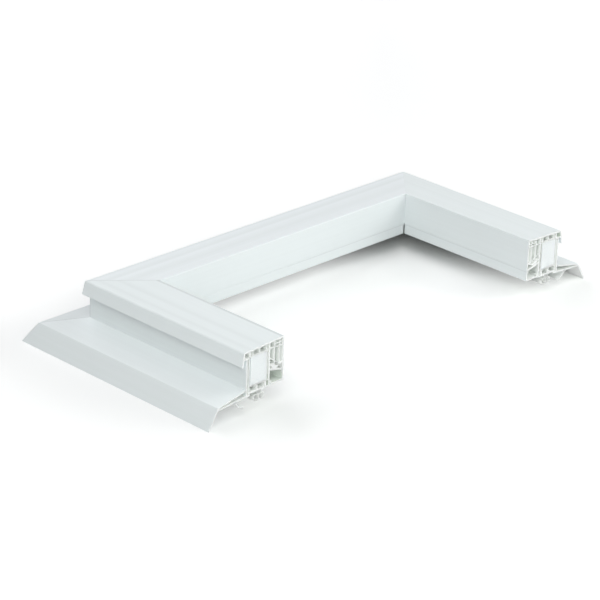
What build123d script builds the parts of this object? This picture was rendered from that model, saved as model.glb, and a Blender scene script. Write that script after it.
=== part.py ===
from build123d import *
import os
from math import atan2, cos, radians, sin, tan

# A three-sided corner sample of a flat rooflight frame: three lengths of one white PVC-U
# multi-chamber profile, mitred and welded into a U, with the two legs sawn off square.
# Millimetres. +X runs along the back rail, +Y from the sawn ends to the back rail, +Z up.
# The origin is at the middle of the footprint, on the floor that the skirt flaps stand on.
#
# Every section is drawn with u across the rail, from the outer edge of the top face (0)
# inwards to the inner face, and z upwards from the bottom edge of the inner face (0).

# Frame
clear_width = 498.0  # between the inner faces of the two legs
leg_length = 318.0  # from the sawn end to the outer edge of the back rail's top face
profile_width = 74.0  # outer edge of the top face to the inner face
inner_height = 65.0  # inner face, trim included
top_fall = 3.6  # the top face sheds water outwards
seat_drop = 33.5  # the flap's lower edge hangs this far below the inner face

# Walls
face_wall = 2.4  # walls that show
mid_wall = 1.8  # walls of the middle chamber
web = 1.3  # stiffening webs
base_web = 2.4  # webs of the base row
small_round = 0.3  # lips, barbs and the tips of thin walls
chamber_round = 0.5
edge_round = 0.8
bend_round = 1.5  # outside of the bend between skirt and flap

# Outer wall and drip lip
wall_setback = 4.6  # outer wall behind the outer edge of the top face
lip_reach = 3.2  # the lip leans outwards by this much
lip_depth = 21.5  # from the outer edge of the top face down to the lip's edge
lip_wall = 2.2
lip_gap_depth = 9.8  # open gap between the lip and the outer wall
nose_round = 3.2  # rounded outer corner of the top face

# Chambers, from the outside inwards; the core chamber takes what they leave of the width
drain_width = 2.6
guard_width = 2.4
inner_width_1 = 7.6
inner_width_2 = 8.0
inner_width_3 = 5.2
side_cell_width = 3.4  # the narrow cell over the core's outer edge
shelf_rise = 3.6  # lower cells of the inner top row, with another cell above each
corner_cell_width = 3.4  # the small cell over the trim, beside the guard wall
base_web_offset = 1.5  # the base row's middle web lies this far outwards of the core's middle

# Levels
top_row_depth = 11.4  # inner top edge down to the floor of the row of small chambers
core_chamber_floor = 10.2
base_row_level = 1.0  # floor of the row of small chambers under the core
base_level = -1.5  # underside of the body
foot_level = -4.6  # underside of the outer wall's foot
joint_level = 16.6  # joint between the inner face and the trim
slope_high = 21.2  # underside of the sloping floor where it leaves the guard wall
slope_low = 15.6  # underside of the sloping floor behind the inner face

brace_level = 38.6  # underside of the brace where it leaves the guard wall
brace_slope = 0.72
brace_cell = 4.2  # height of the cells under the brace
strut_inset = 3.3  # the strut's foot stands this far inside the second inner chamber
strut_level = 26.2  # and it rises to this level at the inner face

# Skirt and flap
root_level = 6.3  # the skirt's top meets the outer wall here
skirt_reach = 50.5  # outer wall to the bend
skirt_fall = 10.7  # root to bend
skirt_wall = 2.0
skirt_tip = 4.0  # the skirt is solid this close to the bend
under_wall = 2.2
under_bend_level = -9.0  # underside of the skirt where the flap leaves it
flap_reach = 17.0  # bend to the flap's lower edge, measured level
flap_wall = 2.2

# Insulation core
core_side_gap = 1.9  # open gap on the core's outer side
core_clearance = 0.3
core_round = 1.0

# Inner trim
trim_wall = 2.2
trim_joint = 0.2  # visible joint between the trim and the inner face
joint_round = 0.15  # the joint's two edges
trim_clearance = 0.3
catch_depth = 1.3  # rib on the guard wall that the trim's toe clips over
catch_level = 1.7
catch_height = 1.2
toe_height = 6.1
toe_wall = 1.6
barb_height = 1.6
barb_round = 0.1
trim_round = 1.2
nib_depth = 3.6  # nib behind the trim's upper edge
trim_mitre_gap = 1.0  # each trim stops this far short of the mitre

# Base seal channel
channel_offset = 2.4  # the channel's middle lies this far inwards of the core chamber's middle
channel_width = 9.0
channel_depth = 3.4
channel_mouth = 4.0
channel_wall = 1.2

# Skirt seal: a bonded foot and a blade that curls inwards
lip_seal_inset = 18.8  # outer wall to the blade's root
lip_seal_radius = 20.8
lip_seal_lean = 25.0  # degrees from level, of the radius at the blade's root
lip_seal_sweep = 55.0  # degrees of arc, from the root to just short of the lowest point
lip_seal_wall = 1.7
lip_seal_foot = 6.5
lip_seal_foot_wall = 1.0

# Base seal: a foot in the channel that carries two hollow bulbs side by side
bulb_width = 10.9
bulb_depth = 10.8
bulb_round = 5.0
bulb_wall = 1.3
seal_clearance = 0.2

# Stations across the section
outer_width = clear_width + 2 * profile_width
half_width = outer_width / 2
wall_inside = wall_setback + face_wall
drain_end = wall_inside + drain_width
core_start = drain_end + web
inner_3_end = profile_width - face_wall
inner_3_start = inner_3_end - inner_width_3
inner_2_end = inner_3_start - web
inner_2_start = inner_2_end - inner_width_2
inner_1_end = inner_2_start - web
inner_start = inner_1_end - inner_width_1
guard_end = inner_start - face_wall
guard_start = guard_end - guard_width
core_end = guard_start - web
core_middle = (core_start + core_end) / 2
strut_foot = inner_2_start + strut_inset
trim_seat = inner_3_end - trim_clearance  # outer side of the trim's face leg

# Levels that follow
outer_height = inner_height - top_fall
top_row_level = inner_height - top_row_depth
core_chamber_top = top_row_level - mid_wall
lip_edge_level = outer_height - lip_depth
lip_gap_top = lip_edge_level + lip_gap_depth
bend_u = wall_setback - skirt_reach
bend_level = root_level - skirt_fall
flap_edge_u = bend_u - flap_reach
flap_lean = atan2(flap_reach, seat_drop + bend_level)
flap_level_wall = flap_wall / cos(flap_lean)
foot_end = core_start + web
channel_centre = core_middle + channel_offset
base_web_centre = core_middle - base_web_offset
channel_bottom = base_level - channel_depth

# Places in the row's frame
frame_depth = leg_length - flap_edge_u
front_y = -frame_depth / 2
back_edge_y = front_y + leg_length


def top_level(u):
    """Height of the sloping top face."""
    return inner_height - top_fall * (1 - u / profile_width)


def ceiling(u):
    """Underside of the top wall."""
    return top_level(u) - face_wall


def lip_outside(z):
    """Outer face of the leaning lip."""
    return -lip_reach * (outer_height - z) / lip_depth


def skirt_top(u):
    """Upper face of the sloping skirt."""
    return root_level - skirt_fall * (wall_setback - u) / skirt_reach


def flap_inside(z):
    """Inner face of the flap."""
    return bend_u + flap_level_wall - (bend_level - z) * tan(flap_lean)


def skirt_underside(u):
    """Underside of the skirt, from the foot of the outer wall out to the flap."""
    end = flap_inside(under_bend_level)
    return foot_level + (under_bend_level - foot_level) * (foot_end - u) / (foot_end - end)


def slope_underside(u):
    """Underside of the sloping floor over the trim."""
    return slope_high - (slope_high - slope_low) * (u - inner_start) / (inner_3_end - inner_start)


def rounded(corners):
    """A closed face through (u, z, corner radius) points."""
    with BuildSketch() as face:
        with BuildLine():
            FilletPolyline([(u, z) for u, z, _ in corners], radius=[r for _, _, r in corners], close=True)
        make_face()
    return face.sketch


def chamber(*corners, radius=chamber_round):
    """A chamber with softly rounded corners."""
    return rounded([(u, z, radius) for u, z in corners])


def box_chamber(left, right, floor, roof_of):
    """A chamber between two walls, a level floor and a roof that may slope."""
    return chamber((left, floor), (right, floor), (right, roof_of(right)), (left, roof_of(left)))


def body_outline():
    """The outside of the extrusion, from the inner top edge round by the trim, base and skirt."""
    nib_left = trim_seat - web
    nib_level = slope_low - nib_depth
    catch_top = catch_level + catch_height
    channel_left = channel_centre - channel_width / 2
    channel_right = channel_centre + channel_width / 2
    channel_floor = channel_bottom + channel_wall
    mouth_left = channel_centre - channel_mouth / 2
    mouth_right = channel_centre + channel_mouth / 2
    return rounded(
        [
            (profile_width, inner_height, edge_round),
            (profile_width, joint_level, joint_round),
            (trim_seat, joint_level, 0),
            (trim_seat, nib_level, small_round),
            (nib_left, nib_level, small_round),
            (nib_left, slope_underside(nib_left), small_round),
            (inner_start, slope_high, small_round),
            (inner_start, catch_top, 0),
            (inner_start + catch_depth, catch_top, small_round),
            (inner_start, catch_level, 0),
            (inner_start, base_level, edge_round),
            (channel_right, base_level, 0),
            (channel_right, channel_bottom, small_round),
            (mouth_right, channel_bottom, small_round),
            (mouth_right, channel_floor, small_round),
            (channel_right - channel_wall, channel_floor, small_round),
            (channel_right - channel_wall, base_level, 0),
            (channel_left + channel_wall, base_level, 0),
            (channel_left + channel_wall, channel_floor, small_round),
            (mouth_left, channel_floor, small_round),
            (mouth_left, channel_bottom, small_round),
            (channel_left, channel_bottom, small_round),
            (channel_left, base_level, 0),
            (foot_end, base_level, chamber_round),
            (foot_end, foot_level, edge_round),
            (flap_inside(under_bend_level), under_bend_level, edge_round),
            (flap_inside(-seat_drop), -seat_drop, small_round),
            (flap_edge_u, -seat_drop, 0),
            (bend_u, bend_level, bend_round),
            (wall_setback, root_level, chamber_round),
            (wall_setback, lip_gap_top, chamber_round),
            (lip_outside(lip_gap_top) + lip_wall, lip_gap_top, chamber_round),
            (lip_outside(lip_edge_level) + lip_wall, lip_edge_level, edge_round),
            (lip_outside(lip_edge_level), lip_edge_level, edge_round),
            (0, outer_height, nose_round),
        ]
    )


def top_row():
    """The row of small chambers under the top face."""
    nose_floor = lip_gap_top + face_wall
    side_cell = core_start + web
    wide_start = side_cell + side_cell_width + web
    wide_end = core_end - web
    wide_middle = (wide_start + wide_end) / 2
    shelf = top_row_level + shelf_rise
    cells = [
        chamber(
            (lip_outside(nose_floor) + face_wall, nose_floor),
            (drain_end, nose_floor),
            (drain_end, ceiling(drain_end)),
            (lip_outside(ceiling(0)) + face_wall, ceiling(0)),
        ),
        box_chamber(side_cell, side_cell + side_cell_width, top_row_level, ceiling),
        box_chamber(wide_start, wide_middle - web / 2, top_row_level, ceiling),
        box_chamber(wide_middle + web / 2, wide_end, top_row_level, ceiling),
        box_chamber(core_end, guard_end, top_row_level, ceiling),
        box_chamber(inner_start, inner_1_end, top_row_level, ceiling),
    ]
    for left, right in ((inner_2_start, inner_2_end), (inner_3_start, inner_3_end)):
        cells.append(box_chamber(left, right, top_row_level, lambda u: shelf))
        cells.append(box_chamber(left, right, shelf + web, ceiling))
    return cells


def base_row():
    """The chambers under the core."""
    roof = core_chamber_floor - mid_wall
    middle_left = base_web_centre - base_web / 2
    middle_right = base_web_centre + base_web / 2
    return [
        box_chamber(core_start, middle_left, base_row_level, lambda u: roof),
        box_chamber(middle_right, core_end - web - base_web, base_row_level, lambda u: roof),
        box_chamber(core_end, guard_end, base_row_level, lambda u: roof),
    ]


def inner_chambers():
    """The tall chambers behind the inner face, and the braced ones under them."""
    top = top_row_level - web

    def brace(u):
        """Underside of the brace that falls inwards from the guard wall."""
        return brace_level - brace_slope * (u - inner_start)

    def floor_over(u):
        """Upper face of the sloping floor."""
        return slope_underside(u) + face_wall

    cross_level = brace(inner_1_end) - brace_cell
    corner_end = inner_start + corner_cell_width
    return [
        chamber(
            (inner_start, brace(inner_start) + web),
            (inner_1_end, brace(inner_1_end) + web),
            (inner_1_end, top),
            (inner_start, top),
        ),
        chamber(
            (inner_2_start, brace(inner_2_start) + web),
            (inner_2_end, brace(inner_2_end) + web),
            (inner_2_end, top),
            (inner_2_start, top),
        ),
        box_chamber(inner_3_start, inner_3_end, strut_level + face_wall, lambda u: top),
        chamber(
            (inner_start, cross_level + web),
            (inner_1_end, cross_level),
            (inner_1_end, brace(inner_1_end)),
            (inner_start, brace(inner_start)),
        ),
        chamber(
            (inner_2_start, brace(inner_2_start) - brace_cell - web),
            (strut_foot, brace(strut_foot) - brace_cell),
            (inner_2_end, brace(inner_2_end) - brace_cell / 2),
            (inner_2_end, brace(inner_2_end)),
            (inner_2_start, brace(inner_2_start)),
        ),
        chamber(
            (inner_start, floor_over(inner_start)),
            (corner_end, floor_over(corner_end)),
            (corner_end, cross_level - brace_slope * corner_cell_width),
            (inner_start, cross_level),
        ),
        chamber(
            (strut_foot, floor_over(strut_foot)),
            (inner_3_end, floor_over(inner_3_end)),
            (inner_3_end, strut_level),
            (strut_foot, floor_over(strut_foot) + web),
        ),
    ]


def skirt_hollow():
    """The long wedge between the skirt's two walls."""
    tip = bend_u + skirt_tip
    drop = skirt_wall / cos(atan2(skirt_fall, skirt_reach))
    return chamber(
        (wall_setback, skirt_underside(wall_setback) + under_wall),
        (wall_setback, skirt_top(wall_setback) - drop),
        (tip, skirt_top(tip) - drop),
        (tip, skirt_underside(tip) + under_wall),
        radius=small_round,
    )


def frame_section():
    """The white extrusion with all its chambers."""
    with BuildSketch() as section:
        add(body_outline())
        core_space = ((core_start, core_chamber_floor), (core_end, core_chamber_floor))
        core_roof = ((core_end, core_chamber_top), (core_start, core_chamber_top))
        add(chamber(*core_space, *core_roof), mode=Mode.SUBTRACT)
        drain = box_chamber(wall_inside, drain_end, foot_level + face_wall, lambda u: lip_gap_top)
        add(drain, mode=Mode.SUBTRACT)
        guard = box_chamber(guard_start, guard_end, core_chamber_floor, lambda u: core_chamber_top)
        add(guard, mode=Mode.SUBTRACT)
        for hollow in [*top_row(), *base_row(), *inner_chambers(), skirt_hollow()]:
            add(hollow, mode=Mode.SUBTRACT)
    return section.sketch


def core_section():
    """The foam bar: it stands on the floor of its chamber, against the inner side."""
    left = core_start + core_side_gap
    right = core_end - core_clearance
    roof = core_chamber_top - core_clearance
    return chamber(
        (left, core_chamber_floor),
        (right, core_chamber_floor),
        (right, roof),
        (left, roof),
        radius=core_round,
    )


def trim_section():
    """The L-shaped trim: a face leg, a level flange, and a toe that clips over the catch rib."""
    leg_inside = profile_width - trim_wall
    toe_left = inner_start + catch_depth + trim_clearance
    barb_left = inner_start + trim_clearance
    barb_level = catch_level + catch_height + trim_clearance
    return rounded(
        [
            (profile_width, 0, trim_round),
            (profile_width, joint_level - trim_joint, joint_round),
            (leg_inside, joint_level - trim_joint, joint_round),
            (leg_inside, trim_wall, chamber_round),
            (toe_left + toe_wall, trim_wall, chamber_round),
            (toe_left + toe_wall, toe_height, small_round),
            (toe_left, toe_height, small_round),
            (toe_left, barb_level + barb_height, 0),
            (barb_left, barb_level, barb_round),
            (toe_left, barb_level, 0),
            (toe_left, 0, edge_round),
        ]
    )


def skirt_seal_section():
    """The soft lip on the skirt's underside: a bonded foot and a blade that curls inwards."""
    root_u = wall_setback - lip_seal_inset
    lean = radians(lip_seal_lean)
    centre = (root_u + lip_seal_radius * cos(lean), skirt_underside(root_u) + lip_seal_radius * sin(lean))
    start = 180 + lip_seal_lean
    left = root_u - lip_seal_foot / 2
    right = root_u + lip_seal_foot / 2
    with BuildSketch() as section:
        with BuildLine():
            outer = CenterArc(centre, lip_seal_radius + lip_seal_wall / 2, start, lip_seal_sweep)
            inner = CenterArc(centre, lip_seal_radius - lip_seal_wall / 2, start, lip_seal_sweep)
            Line(outer @ 0, inner @ 0)
            Line(outer @ 1, inner @ 1)
        make_face()
        foot = chamber(
            (left, skirt_underside(left) - lip_seal_foot_wall),
            (right, skirt_underside(right) - lip_seal_foot_wall),
            (right, skirt_underside(right)),
            (left, skirt_underside(left)),
            radius=0,
        )
        add(foot)
        skirt = chamber(
            (bend_u, skirt_underside(bend_u)),
            (wall_setback, skirt_underside(wall_setback)),
            (wall_setback, root_level),
            (bend_u, bend_level),
            radius=0,
        )
        add(skirt, mode=Mode.SUBTRACT)
    return section.sketch


def base_seal_section():
    """The translucent seal: a foot held in the channel, and two hollow bulbs that share a wall."""
    neck_half = channel_mouth / 2 - seal_clearance
    foot_half = channel_width / 2 - channel_wall - seal_clearance
    foot_top = base_level - seal_clearance
    foot_bottom = channel_bottom + channel_wall + seal_clearance
    bulb_level = channel_bottom - seal_clearance - bulb_depth / 2
    bulb_pitch = bulb_width - bulb_wall
    hollow_width = bulb_width - 2 * bulb_wall
    hollow_depth = bulb_depth - 2 * bulb_wall
    with BuildSketch() as section:
        foot = chamber(
            (channel_centre - foot_half, foot_bottom),
            (channel_centre + foot_half, foot_bottom),
            (channel_centre + foot_half, foot_top),
            (channel_centre - foot_half, foot_top),
            radius=small_round,
        )
        add(foot)
        neck = chamber(
            (channel_centre - neck_half, bulb_level),
            (channel_centre + neck_half, bulb_level),
            (channel_centre + neck_half, foot_top),
            (channel_centre - neck_half, foot_top),
            radius=0,
        )
        add(neck)
        with Locations((channel_centre, bulb_level)):
            with GridLocations(bulb_pitch, 0, 2, 1):
                RectangleRounded(bulb_width, bulb_depth, bulb_round)
                RectangleRounded(hollow_width, hollow_depth, bulb_round - bulb_wall, mode=Mode.SUBTRACT)
    return section.sketch


# The section stands in these planes: at the left leg's sawn end, and across the back rail. Each
# length is drawn long enough to pass through its mitres, which then cut it.
left_end = Plane(origin=(-half_width, front_y, seat_drop), x_dir=(1, 0, 0), z_dir=(0, -1, 0))
back_end = Plane(origin=(half_width, back_edge_y, seat_drop), x_dir=(0, -1, 0), z_dir=(-1, 0, 0))
overrun = profile_width - flap_edge_u


def mitre(side):
    """The upright mitre plane of the left (-1) or right (1) corner, facing the back rail."""
    return Plane(origin=(side * half_width, back_edge_y, 0), z_dir=(-side, 1, 0))


os.makedirs("parts", exist_ok=True)

pieces = {
    "frame_rail": (frame_section(), 0.0),
    "insulation_core": (core_section(), 0.0),
    "inner_trim": (trim_section(), trim_mitre_gap),
    "skirt_seal": (skirt_seal_section(), 0.0),
    "base_seal": (base_seal_section(), 0.0),
}

for name, (section, gap) in pieces.items():
    with BuildPart() as left_leg:
        with BuildSketch(left_end):
            add(section)
        extrude(amount=-(leg_length + overrun))
        split(bisect_by=mitre(-1).offset(-gap), keep=Keep.BOTTOM)

    with BuildPart() as back_rail:
        with BuildSketch(back_end.offset(-overrun)):
            add(section)
        extrude(amount=outer_width + 2 * overrun)
        for side in (-1, 1):
            split(bisect_by=mitre(side).offset(gap), keep=Keep.TOP)

    with BuildPart() as right_leg:
        mirror(left_leg.part, about=Plane.YZ)

    for side, rail in (("left", left_leg), ("back", back_rail), ("right", right_leg)):
        rail.part.label = f"{name}_{side}"
        export_step(rail.part, f"parts/{name}_{side}.step")
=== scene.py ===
import math

import bpy
from mathutils import Matrix, Vector


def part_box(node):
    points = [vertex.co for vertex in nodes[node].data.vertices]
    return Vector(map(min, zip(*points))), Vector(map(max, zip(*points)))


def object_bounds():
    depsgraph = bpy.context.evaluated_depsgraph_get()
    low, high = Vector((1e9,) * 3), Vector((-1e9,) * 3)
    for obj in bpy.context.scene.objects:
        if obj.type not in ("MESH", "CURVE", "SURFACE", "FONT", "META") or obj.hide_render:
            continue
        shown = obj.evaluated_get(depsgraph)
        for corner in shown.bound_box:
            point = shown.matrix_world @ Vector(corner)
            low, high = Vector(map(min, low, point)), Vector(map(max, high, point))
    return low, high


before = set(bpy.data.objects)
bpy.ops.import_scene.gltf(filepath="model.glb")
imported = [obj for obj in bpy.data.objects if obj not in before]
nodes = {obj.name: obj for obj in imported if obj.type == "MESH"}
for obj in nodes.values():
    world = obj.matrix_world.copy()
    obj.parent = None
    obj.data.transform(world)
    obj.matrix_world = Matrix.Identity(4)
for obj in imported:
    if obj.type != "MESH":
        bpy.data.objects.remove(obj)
cad_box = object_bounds()

# Frame rails: three lengths of one white PVC-U extrusion, mitred and welded into a U and sawn off
# square at the open ends. The die leaves fine lines along each rail, the walls sink a little over
# the webs behind them, and light soaks into the thin walls where the saw has laid them open. Shade
# is painted in bands along the top faces, on the left and back flaps and in a few chambers; light
# is painted on the other chamber walls, on the right leg's flap and skirt underside and on the
# back rail's top face.
MM = 0.001
SIDES = ("left", "back", "right")
rail_low, rail_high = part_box("frame_rail_left")
foam_low, foam_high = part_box("insulation_core_left")
SAWN_Y = rail_low.y
INNER_REACH = -rail_high.x  # reach is the distance from the middle of the U, outwards
MITRE_SHIFT = -rail_low.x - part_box("frame_rail_back")[1].y  # turns the back rail's y into its reach
TOP_LEVEL = rail_high.z
TOP_SLOPE = 3.6 / 74  # the top face falls 3.6 mm outwards over its width of 74 mm
SKIN = 1.2 * MM  # half a wall: what lies deeper is inside a chamber
CORE_INSET = -foam_high.x - INNER_REACH  # inset is the distance from the inner face
NOSE_LEVEL = foam_high.z
OUTER_WALLS = 7 * MM  # from the foam to just inside the body's outer face
NOSE_DEPTH = 5 * MM  # the chamber over the drip lip stands out this much further
WALL_REACH = -foam_low.x + OUTER_WALLS
TRIM_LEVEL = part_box("inner_trim_left")[1].z
SKIRT_START = 318.4 * MM
SKIRT_LEVELS = (39.8 * MM, 28.7 * MM)  # of its top and of its underside, where it starts
SKIRT_FALLS = (0.212, 0.083)  # how fast the two fall outwards
SKIRT_TIP = 365.5 * MM
FLAP_REACH = 368 * MM
FLAP_LEVEL = 29 * MM

PVC_IOR = 1.52
PVC_GLOSS = 0.26
PVC_ROUGH = 0.42
PVC_WHITE = (0.858, 0.905, 0.915, 1)
PVC_TOP_PAINTED_LIGHT = (0.896, 0.936, 0.960, 1)  # painted light: the back rail's top face is a little whiter than the legs
# the darker tone of the die lines and bands, and painted shade in bands on the top faces and flaps
PVC_TONE_AND_SHADE = (0.798, 0.842, 0.851, 1)
PVC_SAWN = (0.915, 0.965, 0.985, 1)
# painted light: the chamber walls and the right leg's flap and skirt underside are lighter
PVC_INSIDE_PAINTED_LIGHT = (0.935, 0.988, 0.942, 1)
PVC_SHADED = (0.700, 0.755, 0.700, 1)  # painted shade in a few of the chambers
PVC_GROOVE = (0.560, 0.590, 0.600, 1)
PVC_EDGE_LINE = (0.700, 0.740, 0.750, 1)

LINES_ACROSS = 900  # the fine lines of the die, in steps per metre across the rail
LINES_ALONG = 5  # and along it
BAND_SCALE = 0.16  # the broader bands, next to the lines
LINE_SHADE = 0.12
LINE_ROUGH = 0.08
BAND_SHADE = 0.22
SAW_TOLERANCE = 0.05 * MM
SAWN_ROUGH = 0.25
LEG_SHADE_BANDS = ((61, 5), (41, 5.5))  # painted shade on the top face, in mm: inset of the middle, half width
BACK_SHADE_BANDS = ((70, 4), (54, 5), (28, 9))
SHADE_BAND_SHARES = (1.0, 0.35)  # the painted shade bands are fainter on the right leg than on the left
# the share of painted shade in the top bands and on the flap, on the legs and on the back
LEG_PAINTED_SHADE = 0.6
BACK_PAINTED_SHADE = 0.4
SINK_MARKS = ((56, 7), (36, 7))
EDGE_LINE = (0.9 * MM, 2.2 * MM, 4.2 * MM, 6.2 * MM)  # the darker line along the left leg's inner top edge, by insets: it starts, is full, fades and ends
WELD_HALF = 0.8 * MM
FRAME_WELD = (0.95, 0.05)  # a groove at the left corner, all but dressed away at the right one
JOINT_DROP = 1.4 * MM  # the dark line along the trim's joint lies this far under the trim's edge
JOINT_HALF = 0.6 * MM
JOINT_DARK = (0.06, 0.38)  # on the left half of the object and on the right half
RELIEF = 0.04 * MM  # the unit of the four heights and depths that follow
LINE_HEIGHT = 0.12
BAND_HEIGHT = 0.5
SINK_DEPTH = 3
WELD_DEPTH = 4
SOAK_DEPTH = 6 * MM  # how far light travels inside the plastic
SOAK_FADE = (80 * MM, 15 * MM)  # in the chambers it starts and is full this far from the saw


class Value:
    """One output of a shader node. Arithmetic on values adds the Math nodes that work it out."""

    def __init__(self, graph, socket):
        self.graph = graph
        self.socket = socket

    def __add__(self, other):
        return self.graph.maths("ADD", self, other)

    __radd__ = __add__

    def __sub__(self, other):
        return self.graph.maths("SUBTRACT", self, other)

    def __rsub__(self, other):
        return self.graph.maths("SUBTRACT", other, self)

    def __mul__(self, other):
        return self.graph.maths("MULTIPLY", self, other)

    __rmul__ = __mul__

    def __truediv__(self, other):
        return self.graph.maths("DIVIDE", self, other)

    def __rtruediv__(self, other):
        return self.graph.maths("DIVIDE", other, self)

    def __abs__(self):
        return self.graph.maths("ABSOLUTE", self)

    def __lt__(self, other):
        return self.graph.maths("LESS_THAN", self, other)

    def __gt__(self, other):
        return self.graph.maths("GREATER_THAN", self, other)


class Graph:
    """The nodes of one material or world, and the method that adds one."""

    NOISE_DETAIL = 2.0
    NOISE_SPAN = (0.3, 0.7)  # most of a noise lies between these, and is spread from 0 to 1

    def __init__(self, owner):
        owner.use_nodes = True
        self.owner = owner
        self.tree = owner.node_tree

    def feed(self, socket, given):
        """Links a value into a socket, or sets it there where it is a plain number or colour."""
        if isinstance(given, Value):
            self.tree.links.new(given.socket, socket)
        else:
            socket.default_value = given

    def node(self, kind, settings, sockets, output=0):
        """Adds a node: its settings first, then what each of its sockets holds."""
        node = self.tree.nodes.new(kind)
        for name, choice in settings.items():
            setattr(node, name, choice)
        for name, given in sockets.items():
            self.feed(node.inputs[name], given)
        return Value(self, node.outputs[output])

    def maths(self, operation, *terms):
        return self.node("ShaderNodeMath", {"operation": operation}, dict(enumerate(terms)))

    def rise(self, value, start, end):
        """0 at the start, 1 at the end and a soft rise between them."""
        limits = {"Value": value, "From Min": start, "From Max": end}
        return self.node("ShaderNodeMapRange", {"interpolation_type": "SMOOTHSTEP"}, limits)

    def blend(self, share, first, second):
        """The first colour, which turns into the second as the share goes from 0 to 1."""
        colours = {0: share, 6: first, 7: second}  # the Mix node's sockets for colours
        return self.node("ShaderNodeMix", {"data_type": "RGBA"}, colours, output=2)

    def noise(self, place, scale):
        sockets = {"Vector": place, "Scale": scale, "Detail": self.NOISE_DETAIL}
        return self.rise(self.node("ShaderNodeTexNoise", {}, sockets), *self.NOISE_SPAN)

    def bump(self, height, depth, strength=1.0):
        """A normal for small relief, in which a height of 1 stands out by the depth."""
        sockets = {"Strength": strength, "Distance": depth, "Height": height}
        return self.node("ShaderNodeBump", {}, sockets)

    def point(self):
        """The place on the object, in metres, as one vector and as x, y and z."""
        place = self.node("ShaderNodeTexCoord", {}, {}, output="Object")
        split = self.node("ShaderNodeSeparateXYZ", {}, {0: place})
        return place, [Value(self, part) for part in split.socket.node.outputs]


class Finish(Graph):
    """A material of this object, with its Principled shader."""

    def __init__(self, name, **constants):
        super().__init__(bpy.data.materials.new(name))
        self.shader = self.tree.nodes["Principled BSDF"]
        self.surface(**constants)

    def fill(self, shader, values):
        """Feeds a shader's sockets. An underscore stands for the space in a socket's name."""
        for name, given in values.items():
            self.feed(shader.inputs[name.replace("_", " ")], given)

    def surface(self, **values):
        """Feeds the sockets of the material's own shader."""
        self.fill(self.shader, values)

    def soak(self, share, **values):
        """Mixes in, by the share, a second shader that light soaks into."""
        soaked = self.tree.nodes.new("ShaderNodeBsdfPrincipled")
        self.fill(soaked, values)
        shaders = {1: Value(self, self.shader.outputs[0]), 2: Value(self, soaked.outputs[0])}
        mixed = self.node("ShaderNodeMixShader", {}, {0: share, **shaders})
        self.feed(self.tree.nodes["Material Output"].inputs["Surface"], mixed)


def soaking(depth):
    """Shader constants for a stuff that light travels into."""
    return {"Subsurface_Weight": 1.0, "Subsurface_Radius": (1, 1, 1), "Subsurface_Scale": depth}


def dress(node_name, finish):
    """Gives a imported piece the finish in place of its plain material."""
    piece = nodes[node_name]
    piece.data.materials.clear()
    piece.data.materials.append(finish.owner)


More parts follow.
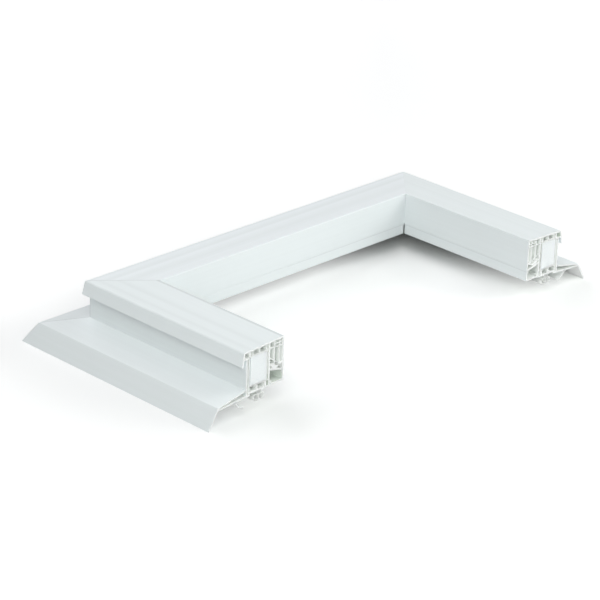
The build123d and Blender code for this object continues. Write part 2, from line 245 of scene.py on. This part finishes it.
class ProfilePvc(Finish):
    """White extruded plastic, and the parts of a rail's section that its marks keep to."""

    def __init__(self, name, is_leg):
        super().__init__(name, IOR=PVC_IOR, Specular_IOR_Level=PVC_GLOSS)
        _, (self.x, self.y, self.z) = self.point()
        self.is_leg = is_leg
        self.reach = abs(self.x) if is_leg else self.y + MITRE_SHIFT
        self.length = self.y if is_leg else self.x
        self.inset = self.reach - INNER_REACH
        self.under_top = TOP_LEVEL - self.inset * TOP_SLOPE - self.z
        self.on_top = self.under_top < SKIN
        self.sawn = self.y < SAWN_Y + SAW_TOLERANCE

    def by_side(self, left, right):
        """One number on the left half of the object and another on the right half."""
        return (self.x > 0) * (right - left) + left

    def stripe(self, off):
        """1 in the middle of a stripe, fading away where the value leaves the span -1 to 1."""
        return self.maths("EXPONENT", off * off * -1)

    def top_stripes(self, places):
        """1 along each of the places on the top face."""
        total = 0
        for middle, half_width in places:
            total = total + self.stripe((self.inset - middle * MM) / (half_width * MM))
        return total * self.on_top

    def painted_shade_parts(self):
        """The bands of painted shade along the top face, and the flap, which has painted shade too.
        """
        bands = self.top_stripes(LEG_SHADE_BANDS if self.is_leg else BACK_SHADE_BANDS)
        if self.is_leg:
            bands = bands * self.by_side(*SHADE_BAND_SHARES)
        return bands + (self.reach > FLAP_REACH) * (self.z < FLAP_LEVEL)

    def weld_groove(self, depths):
        """The groove along each mitre, with its depths at the left and at the right corner."""
        from_weld = abs(self.y + MITRE_SHIFT - abs(self.x)) / math.sqrt(2)
        return self.rise(from_weld, WELD_HALF, 0) * self.by_side(*depths)

    def joint_line(self):
        """The dark line along the trim's joint, on the inner face."""
        line = self.stripe((self.z - TRIM_LEVEL + JOINT_DROP) / JOINT_HALF)
        return line * (self.inset < SKIN) * self.by_side(*JOINT_DARK)

    def dark_edge_line(self):
        """The darker line along the left leg's inner top edge."""
        start, full, fade, end = EDGE_LINE
        line = self.rise(self.inset, start, full) * self.rise(self.inset, end, fade)
        return line * (self.x < 0) * self.on_top * (1 - self.sawn)

    def skirt_depths(self):
        """How far a place lies under the skirt's top and over its underside."""
        outwards = self.reach - SKIRT_START
        top, underside = (outwards * -fall + level for fall, level in zip(SKIRT_FALLS, SKIRT_LEVELS))
        return top - self.z, self.z - underside

    def chamber_walls(self):
        """1 on the walls of the chambers in the body and in the skirt, and 0 on what lies outside."""
        body_end = (self.z > NOSE_LEVEL) * NOSE_DEPTH + WALL_REACH
        in_body = (self.inset > SKIN) * (self.under_top > SKIN) * (self.reach < body_end)
        under_skirt, over_skirt = self.skirt_depths()
        in_skirt = (self.reach > SKIRT_START) * (self.reach < SKIRT_TIP)
        return in_body + in_skirt * (under_skirt > SKIN) * (over_skirt > SKIN)

    def right_skirt_and_flap(self):
        """1 on the right leg's flap and on the underside of its skirt."""
        _, over_skirt = self.skirt_depths()
        return (self.x > 0) * (self.reach > SKIRT_START) * (over_skirt < SKIN)

    def painted_shade_chambers(self):
        """1 in the left leg's cells at the trim's level and in the right leg's cell over the lip."""
        by_trim = (self.inset < CORE_INSET) * (self.z < TRIM_LEVEL) * (self.x < 0)
        over_lip = (self.reach > WALL_REACH) * (self.z > NOSE_LEVEL) * (self.x > 0)
        return by_trim + over_lip


def extruded_pvc(name, is_leg, weld_depths):
    """The finish of the legs or of the back, with its colour, its roughness and its relief."""
    pvc = ProfilePvc(name, is_leg)
    drawn = {"X": pvc.reach * LINES_ACROSS, "Y": pvc.z * LINES_ACROSS, "Z": pvc.length * LINES_ALONG}
    place = pvc.node("ShaderNodeCombineXYZ", {}, drawn)
    lines = pvc.noise(place, 1.0)
    bands = pvc.noise(place, BAND_SCALE)
    weld = pvc.weld_groove(weld_depths)
    white = PVC_WHITE if is_leg else pvc.blend(pvc.on_top, PVC_WHITE, PVC_TOP_PAINTED_LIGHT)
    painted_shade = pvc.painted_shade_parts() * (LEG_PAINTED_SHADE if is_leg else BACK_PAINTED_SHADE)
    colour = pvc.blend(lines * LINE_SHADE + bands * BAND_SHADE + painted_shade, white, PVC_TONE_AND_SHADE)
    colour = pvc.blend(weld, colour, PVC_GROOVE)
    colour = pvc.blend(pvc.joint_line(), colour, PVC_GROOVE)
    if is_leg:
        colour = pvc.blend(pvc.dark_edge_line(), colour, PVC_EDGE_LINE)
    roughness = lines * LINE_ROUGH + PVC_ROUGH + pvc.sawn * SAWN_ROUGH
    hollows = pvc.top_stripes(SINK_MARKS) * SINK_DEPTH + weld * WELD_DEPTH
    normal = pvc.bump(lines * LINE_HEIGHT + bands * BAND_HEIGHT - hollows, RELIEF)
    pvc.surface(Base_Color=colour, Roughness=roughness, Normal=normal)
    if is_leg:
        # Painted light and shade: chamber walls, right flap and skirt underside lighter, a few
        # chambers darker.
        chambers = pvc.chamber_walls() * (1 - pvc.sawn)
        beneath = pvc.right_skirt_and_flap() * (1 - pvc.sawn)
        walls = pvc.blend(pvc.painted_shade_chambers(), PVC_INSIDE_PAINTED_LIGHT, PVC_SHADED)
        soft = {"Base_Color": pvc.blend(chambers + beneath, PVC_SAWN, walls)}
        soft.update(Roughness=roughness, Normal=normal, **soaking(SOAK_DEPTH))
        near_saw = pvc.rise(pvc.y - SAWN_Y, *SOAK_FADE)
        share = pvc.maths("MAXIMUM", pvc.sawn + beneath, chambers * near_saw)
        pvc.soak(share, IOR=PVC_IOR, Specular_IOR_Level=PVC_GLOSS, **soft)
    return pvc


leg_finish = extruded_pvc("frame_pvc_leg", True, FRAME_WELD)
back_finish = extruded_pvc("frame_pvc_back", False, FRAME_WELD)
for side in SIDES:
    dress(f"frame_rail_{side}", back_finish if side == "back" else leg_finish)

# Foam cores: bars of white expanded polystyrene, sawn from a block of fused beads, that fill the
# large chamber of each rail. They were slid in before the ends were sawn.
FOAM_WHITE = (0.885, 0.925, 1.000, 1)
FOAM_SEAM = (0.785, 0.830, 0.910, 1)
FOAM_SOAK_DEPTH = 2 * MM
BEAD = 3.2 * MM
BEAD_SEAM = 0.10  # the half width of a seam between two beads, as a share of a bead
GRAINS = 4  # for each bead
SEAM_SHADE = 0.5
GRAIN_SHADE = 0.15
GRAIN_HEIGHT = 0.4
BEAD_RELIEF = 0.2 * MM
BEAD_RELIEF_STRENGTH = 0.6

foam = Finish("polystyrene_foam", Roughness=0.85, **soaking(FOAM_SOAK_DEPTH))
foam_place, _ = foam.point()
beads = {"Vector": foam_place, "Scale": 1 / BEAD}
to_seam = foam.node("ShaderNodeTexVoronoi", {"feature": "DISTANCE_TO_EDGE"}, beads)
seam = foam.rise(to_seam, BEAD_SEAM, 0)
grain = foam.noise(foam_place, GRAINS / BEAD)
foam_colour = foam.blend(seam * SEAM_SHADE + grain * GRAIN_SHADE, FOAM_WHITE, FOAM_SEAM)
foam_normal = foam.bump(grain * GRAIN_HEIGHT - seam, BEAD_RELIEF, BEAD_RELIEF_STRENGTH)
foam.surface(Base_Color=foam_colour, Normal=foam_normal)
for side in SIDES:
    dress(f"insulation_core_{side}", foam)

# Inner trims: a thinner extrusion of the same white plastic, clipped over the lower inner edge of
# each rail. Their mitres are only cut, so there is no weld.
NO_WELD = (0, 0)

leg_trim_finish = extruded_pvc("trim_pvc_leg", True, NO_WELD)
back_trim_finish = extruded_pvc("trim_pvc_back", False, NO_WELD)
for side in SIDES:
    dress(f"inner_trim_{side}", back_trim_finish if side == "back" else leg_trim_finish)

# Seals: a matt pale lip bonded under the skirt, and a clear, slightly green seal of two hollow bulbs
# pushed into the channel under the body. Both are soft extrusions with faint lines along them.
LIP_PALE = (0.930, 0.975, 0.970, 1)
BULB_CLEAR = (0.960, 0.995, 0.950, 1)
SEAL_LINES_ACROSS = 700
SEAL_LINES_ALONG = 10
SEAL_LINE_SHADE = 0.5
SEAL_LINE_COLOUR = 0.93  # of the seal's colour
SEAL_RELIEF = 0.05 * MM
SEAL_RELIEF_STRENGTH = 0.5


def soft_extrusion(name, colour, roughness, soak_depth):
    seal = Finish(name, Roughness=roughness, **soaking(soak_depth))
    _, (x, y, z) = seal.point()
    drawn = {"X": abs(x) * SEAL_LINES_ACROSS, "Y": z * SEAL_LINES_ACROSS, "Z": y * SEAL_LINES_ALONG}
    lines = seal.noise(seal.node("ShaderNodeCombineXYZ", {}, drawn), 1.0)
    *tint, alpha = colour
    darker = (*(SEAL_LINE_COLOUR * part for part in tint), alpha)
    normal = seal.bump(lines, SEAL_RELIEF, SEAL_RELIEF_STRENGTH)
    seal.surface(Base_Color=seal.blend(lines * SEAL_LINE_SHADE, colour, darker), Normal=normal)
    return seal


lip_finish = soft_extrusion("pale_seal", LIP_PALE, roughness=0.55, soak_depth=5 * MM)
bulb_finish = soft_extrusion("clear_seal", BULB_CLEAR, roughness=0.30, soak_depth=15 * MM)
for side in SIDES:
    dress(f"skirt_seal_{side}", lip_finish)
    dress(f"base_seal_{side}", bulb_finish)

# Studio floor: matt white paper. The lens sees it with a little glow added, so that it turns white
# away from the object. The glow is shaped so that the shadow stays thin under the open stretches of
# the rails and deep in the far corner.
FLOOR_HALF = 8.0
FLOOR_GREY = (0.80, 0.80, 0.80, 1)  # for the light that it sends back
WHITE = (1, 1, 1, 1)
BLACK = (0, 0, 0, 1)
GLOW = 0.056  # for the lens alone, where 1 is white
GLOW_TURN = 0.988  # it grows in this direction, in radians from +X,
GLOW_BACKWARDS = (0.085, -284 * MM, 2 * MM)  # by this much between these distances
GLOW_AWAY = (0.079, 40 * MM, 147 * MM)  # more, between these distances from the footprint's edge
GLOW_FAR = (1.3, 100 * MM, 3000 * MM)
GLOW_UNDER = (0.173, -7 * MM, -29 * MM)  # more, under the rails, where the distance is negative
GLOW_INNER = (0.045, -27 * MM, 1 * MM)  # more, from a little inside the clear opening to the flaps
GLOW_INNER_FADE = (15 * MM, -10 * MM)
CORNER_X = (83 * MM, 273 * MM)  # the far corner, which has a glow of its own, sets in between these
CORNER_Y = (-187 * MM, 54 * MM)
CORNER_DARK = (-32 * MM, -9 * MM)  # under the rails there, the glow is gone at the first distance
CORNER_RIM = (0.160, -20 * MM, 8 * MM)  # and it is more along the footprint's edge
CORNER_RIM_FADE = (100 * MM, 25 * MM)
OUTER_ROUNDING = 6 * MM
INNER_ROUNDING = 3 * MM

floor_mesh = bpy.data.meshes.new("studio_floor")
corners = [(a * FLOOR_HALF, b * FLOOR_HALF, 0) for a, b in ((-1, -1), (1, -1), (1, 1), (-1, 1))]
floor_mesh.from_pydata(corners, [], [(0, 1, 2, 3)])
floor = bpy.data.objects.new("studio_floor", floor_mesh)
bpy.context.scene.collection.objects.link(floor)


def shown(graph):
    """1 for what the lens sees, also in a reflection or through something clear, and 0 for light."""
    total = 0
    for kind in ("Camera", "Glossy", "Transmission"):
        total = total + graph.node("ShaderNodeLightPath", {}, {}, output=f"Is {kind} Ray")
    return graph.maths("MINIMUM", total, 1.0)


paper = Finish("studio_paper", Roughness=0.9, Specular_IOR_Level=0.0, Emission_Strength=1.0)
_, (x, y, _) = paper.point()
half_x, half_y, _ = cad_box[1]
back_inner_y = INNER_REACH - MITRE_SHIFT
outside = paper.maths("SMOOTH_MAX", abs(x) - half_x, abs(y) - half_y, OUTER_ROUNDING)
within = paper.maths("SMOOTH_MAX", abs(x) - INNER_REACH, y - back_inner_y, INNER_ROUNDING)
edge = paper.maths("MAXIMUM", outside, within * -1)


def more(value, amount, start, end):
    return paper.rise(value, start, end) * amount


backwards = x * math.cos(GLOW_TURN) + y * math.sin(GLOW_TURN)
open_glow = more(backwards, *GLOW_BACKWARDS) + GLOW
open_glow = open_glow + more(edge, *GLOW_AWAY) + more(edge, *GLOW_FAR)
inner_glow = more(within, *GLOW_INNER) * paper.rise(outside, *GLOW_INNER_FADE)
rail_glow = open_glow + more(edge, *GLOW_UNDER) + inner_glow
corner = paper.rise(x, *CORNER_X) * paper.rise(y, *CORNER_Y)
corner_rim = more(edge, *CORNER_RIM) * paper.rise(edge, *CORNER_RIM_FADE)
corner_glow = open_glow * paper.rise(edge, *CORNER_DARK) + corner_rim
glow = rail_glow * (1 - corner) + corner_glow * corner
seen = shown(paper)
paper.surface(Base_Color=paper.blend(seen, FLOOR_GREY, WHITE))
paper.surface(Emission_Color=paper.blend(glow * seen, BLACK, WHITE))
floor_mesh.materials.append(paper.owner)

# Studio lights: seven soft boxes round the object, each facing it, in a room that the lens sees as
# white and that gives no light of its own.
SOFTBOX_SIDE = 2.0
LOW_SOFTBOX = {"elevation": 15, "height": 1.4}
LAMP_DISTANCE = 2.8
LAMP_AIM = Vector((0, 0, 0.04))
PLAIN = (0.98, 1.0, 0.985)
COOL = (0.965, 0.94, 1.0)

room = Graph(bpy.data.worlds.new("studio_room"))
bpy.context.scene.world = room.owner
room.feed(room.tree.nodes["Background"].inputs["Color"], room.blend(shown(room), BLACK, WHITE))


def softbox(name, azimuth, elevation, watts, colour=PLAIN, height=SOFTBOX_SIDE):
    """A soft box at these angles in degrees. Azimuth 0 is +X and 90 is +Y."""
    lamp = bpy.data.lights.new(name, "AREA")
    lamp.shape = "RECTANGLE"
    lamp.size = SOFTBOX_SIDE
    lamp.size_y = height
    lamp.energy = watts
    lamp.color = colour
    box = bpy.data.objects.new(name, lamp)
    turn, lean = math.radians(azimuth), math.radians(elevation)
    way = Vector((math.cos(lean) * math.cos(turn), math.cos(lean) * math.sin(turn), math.sin(lean)))
    box.location = way * LAMP_DISTANCE
    box.rotation_euler = (LAMP_AIM - box.location).to_track_quat("-Z", "Y").to_euler()
    box.visible_camera = False
    bpy.context.scene.collection.objects.link(box)


softbox("camera_low", azimuth=-135, watts=9.8, **LOW_SOFTBOX)
softbox("camera_side", azimuth=-135, elevation=40, watts=33.8)
softbox("front_right_low", azimuth=-45, watts=15.5, **LOW_SOFTBOX)
softbox("front_right", azimuth=-45, elevation=40, watts=35.8)
softbox("back", azimuth=90, elevation=40, watts=21.5, colour=COOL)
softbox("back_left", azimuth=135, elevation=40, watts=7.0)
softbox("back_left_high", azimuth=135, elevation=65, watts=12.5)

# Camera: a long lens at the front left, a little above the object and turned down towards it. It is
# rolled slightly, as in the photograph.
CAMERA_PLACE = Vector((-2.52762, -2.43961, 1.56474))
CAMERA_YAW = math.radians(45.7123)
CAMERA_PITCH = math.radians(23.8344)
CAMERA_ROLL = math.radians(1.8379)
CAMERA_LENS = 159.298

ahead = Vector((math.sin(CAMERA_YAW), math.cos(CAMERA_YAW), 0))
forward = ahead * math.cos(CAMERA_PITCH) - Vector((0, 0, math.sin(CAMERA_PITCH)))
level = Vector((math.cos(CAMERA_YAW), -math.sin(CAMERA_YAW), 0))
upright = level.cross(forward)
right_hand = math.cos(CAMERA_ROLL) * level + math.sin(CAMERA_ROLL) * upright
overhead = math.cos(CAMERA_ROLL) * upright - math.sin(CAMERA_ROLL) * level
lens = bpy.data.cameras.new("camera")
lens.lens = CAMERA_LENS
camera = bpy.data.objects.new("camera", lens)
facing = Matrix((right_hand, overhead, -forward)).transposed().to_4x4()
camera.matrix_world = Matrix.Translation(CAMERA_PLACE) @ facing
bpy.context.scene.collection.objects.link(camera)
bpy.context.scene.camera = camera
bpy.context.scene.view_settings.view_transform = "Standard"
